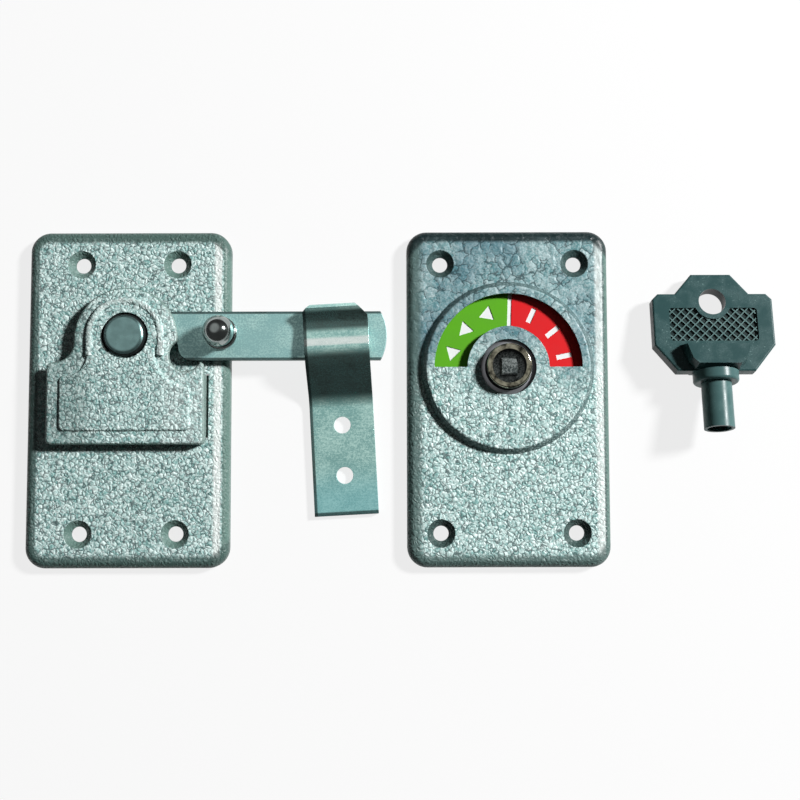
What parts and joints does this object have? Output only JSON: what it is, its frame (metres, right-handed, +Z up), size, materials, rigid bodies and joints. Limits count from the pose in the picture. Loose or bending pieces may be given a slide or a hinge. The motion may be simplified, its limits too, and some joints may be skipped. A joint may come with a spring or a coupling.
{
  "type": "cubicle door latch",
  "caption": "Cubicle door latch laid out as a kit: swinging arm unit, hooked keeper, outer unit with a green and red indicator, and emergency key.",
  "frame": {"origin": "on the surface that the kit lies on, under the centre of the whole kit", "axes": "+X from the arm unit to the key, +Y up the plates towards the arm's end, +Z up off the surface, out of the plates' faces"},
  "size_m": [0.221, 0.1, 0.018],
  "materials": {
    "hammered_paint": "silver-grey hammered enamel",
    "zinc_plate": "blue-white zinc plating, satin",
    "bright_strip": "bright zinc plating with drawn lines",
    "nickel": "polished nickel plating",
    "spring_steel": "oiled blue-grey spring steel",
    "white_plastic": "smooth white",
    "green_print": "smooth print, bright green",
    "red_print": "smooth print, bright red",
    "dark_plastic": "moulded dark grey, semi-matt"
  },
  "bodies": {
    "inner_unit": {"inner_plate": "hammered_paint", "latch_cover": "hammered_paint", "thrust_washer": "zinc_plate", "detent_spring": "spring_steel", "spring_posts": "zinc_plate"},
    "arm": {"latch_arm": "zinc_plate", "arm_knob": "nickel", "pivot_stud": "nickel", "retaining_washer": "zinc_plate", "retaining_ring": "spring_steel"},
    "keeper": {"keeper_hook": "bright_strip"},
    "outer_unit": {"outer_plate": "hammered_paint", "rear_strap": "zinc_plate", "friction_washer": "spring_steel"},
    "spindle": {"spindle_tube": "nickel", "drive_peg": "zinc_plate", "indicator_disc": "white_plastic", "green_label": "green_print", "red_label": "red_print"},
    "key": {"emergency_key": "dark_plastic"}
  },
  "joints": [
    {"name": "arm_swing", "type": "hinge", "parent": "inner_unit", "child": "arm", "pos_m": [-0.0805, 0.0182, 0], "axis": [0, 0, 1], "range_deg": [0, 180], "deforming": ["detent_spring"]},
    {"name": "keeper_lift", "type": "slide", "parent": "inner_unit", "child": "keeper", "axis": [0, 0, 1], "range_m": [0, 0.04]},
    {"name": "outer_unit_lift", "type": "slide", "parent": "inner_unit", "child": "outer_unit", "axis": [0, 0, 1], "range_m": [0, 0.04]},
    {"name": "indicator_turn", "type": "hinge", "parent": "outer_unit", "child": "spindle", "pos_m": [0.032, 0.0089, 0], "axis": [0, 0, 1], "range_deg": [-88, 92]},
    {"name": "key_lift", "type": "slide", "parent": "inner_unit", "child": "key", "axis": [0, 0, 1], "range_m": [0, 0.06]}
  ]
}
